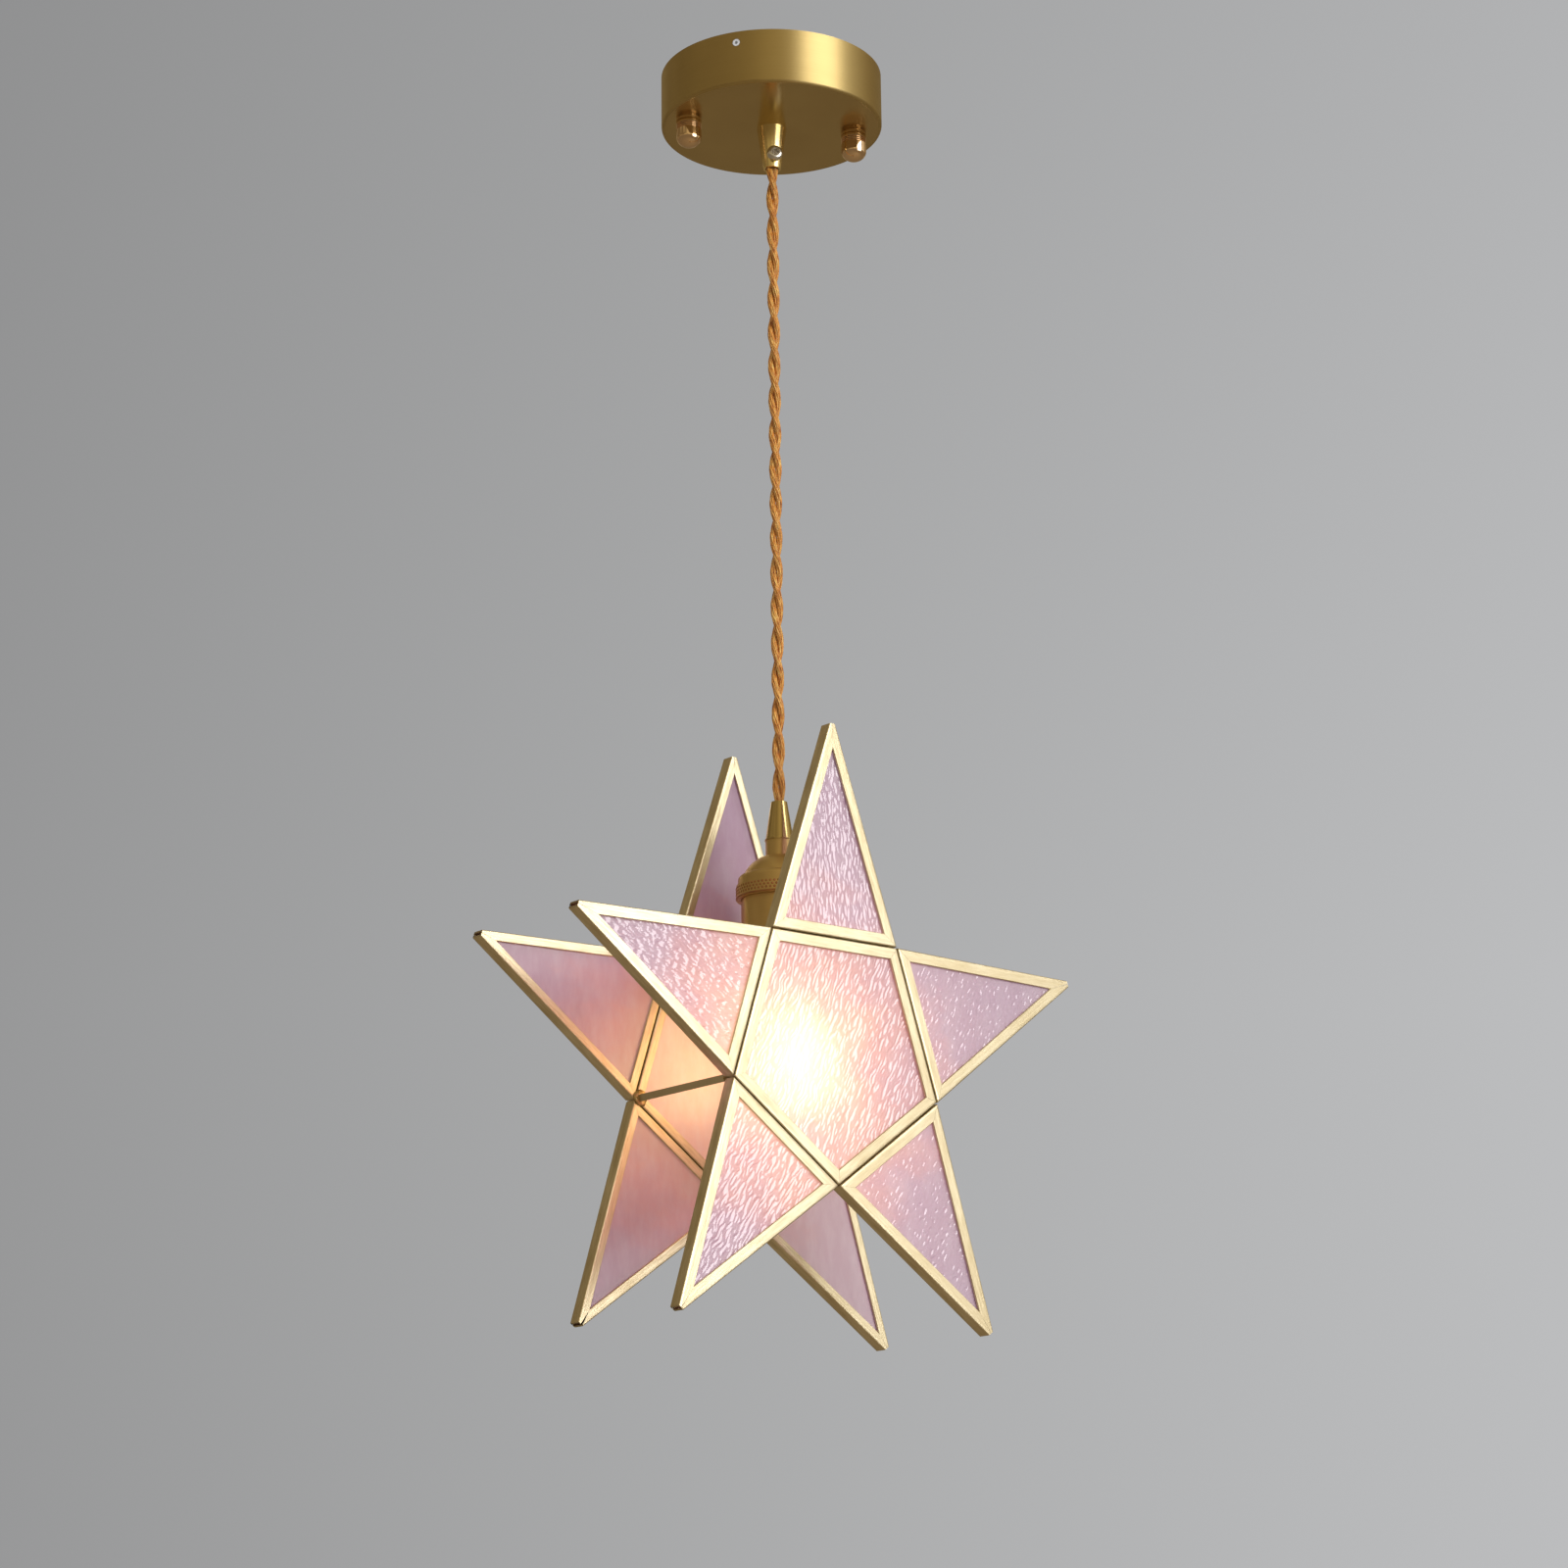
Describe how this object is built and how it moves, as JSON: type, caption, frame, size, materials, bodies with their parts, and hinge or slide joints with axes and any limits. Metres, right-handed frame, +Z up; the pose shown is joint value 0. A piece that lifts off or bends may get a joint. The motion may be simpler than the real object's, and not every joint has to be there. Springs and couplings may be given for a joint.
{
  "type": "star lantern pendant",
  "caption": "Hanging lantern of two flat five-pointed stars in brass-framed opal glass, held apart by struts round a lampholder and bulb, on a twisted cord with a round ceiling canopy.",
  "frame": {"origin": "on the ceiling, middle of the bracket's two screw holes, on the cord's axis", "axes": "+Z up into the ceiling, +X along the stars' width, the front star faces -Y"},
  "size_m": [0.2678, 0.1, 0.5687],
  "materials": {
    "bracket_steel": "zinc plated",
    "bright_steel": "nickel plated",
    "satin_brass": "satin brushed",
    "polished_brass": "polished",
    "came_brass": "satin",
    "solder": "brass coated solder",
    "contact_metal": "plain",
    "terminal_plastic": "moulded",
    "ceramic": "glazed",
    "black_glass": "moulded",
    "amber_fabric": "silky braid",
    "pink_glass": "rippled opal sheet",
    "mauve_glass": "rippled opal sheet",
    "opal_glass": "opal"
  },
  "bodies": {
    "ceiling_mount": {"ceiling_bracket": "bracket_steel", "bracket_studs": "bracket_steel", "cap_nuts": "polished_brass", "canopy_cup": "satin_brass", "canopy_side_screw": "bright_steel", "canopy_side_nut": "bracket_steel", "terminal_block": "terminal_plastic", "terminal_screws": "bright_steel", "earth_screw": "bracket_steel", "canopy_cord_grip": "polished_brass", "canopy_grip_screw": "bright_steel", "canopy_grip_nut": "satin_brass", "cord_tail_in_canopy": "amber_fabric"},
    "cord": {"pendant_cord": "amber_fabric"},
    "lower_grip": {"lampholder_cord_grip": "satin_brass", "lampholder_grip_screw": "bright_steel", "cord_tail_in_lampholder": "amber_fabric"},
    "bulb": {"bulb_cap": "contact_metal", "bulb_insulator": "black_glass", "bulb_tip": "contact_metal", "bulb_globe": "opal_glass"},
    "lantern": {"back_lower_left_came": "came_brass", "back_lower_left_glass": "mauve_glass", "back_lower_right_came": "came_brass", "back_lower_right_glass": "mauve_glass", "back_middle_came": "came_brass", "back_middle_glass": "pink_glass", "back_solder_joints": "solder", "back_top_came": "came_brass", "back_top_glass": "mauve_glass", "back_upper_left_came": "came_brass", "back_upper_left_glass": "mauve_glass", "back_upper_right_came": "came_brass", "back_upper_right_glass": "mauve_glass", "centre_contact": "contact_metal", "contact_sleeve": "contact_metal", "front_lower_left_came": "came_brass", "front_lower_left_glass": "mauve_glass", "front_lower_right_came": "came_brass", "front_lower_right_glass": "mauve_glass", "front_middle_came": "came_brass", "front_middle_glass": "pink_glass", "front_solder_joints": "solder", "front_top_came": "came_brass", "front_top_glass": "mauve_glass", "front_upper_left_came": "came_brass", "front_upper_left_glass": "mauve_glass", "front_upper_right_came": "came_brass", "front_upper_right_glass": "mauve_glass", "lamp_strap": "satin_brass", "lampholder_cap": "satin_brass", "lampholder_core": "ceramic", "lampholder_shell": "satin_brass", "shade_ring": "satin_brass", "strut_bottom": "came_brass", "strut_left": "came_brass", "strut_right": "came_brass", "strut_upper_left": "came_brass", "strut_upper_right": "came_brass"}
  },
  "joints": [
    {"name": "cord_swing", "type": "hinge", "parent": "ceiling_mount", "child": "cord", "pos_m": [0, 0, -0.0447], "axis": [0, 1, 0], "range_deg": [-15, 15]},
    {"name": "lamp_tilt", "type": "hinge", "parent": "cord", "child": "lower_grip", "pos_m": [0, 0, -0.3411], "axis": [1, 0, 0], "range_deg": [-12, 12]},
    {"name": "lamp_twist", "type": "hinge", "parent": "lower_grip", "child": "lantern", "pos_m": [0, 0, -0.3584], "axis": [0, 0, 1], "range_deg": [-90, 90]},
    {"name": "bulb_unscrew", "type": "slide", "parent": "lantern", "child": "bulb", "axis": [0, 0, -1], "range_m": [0, 0.024]}
  ]
}
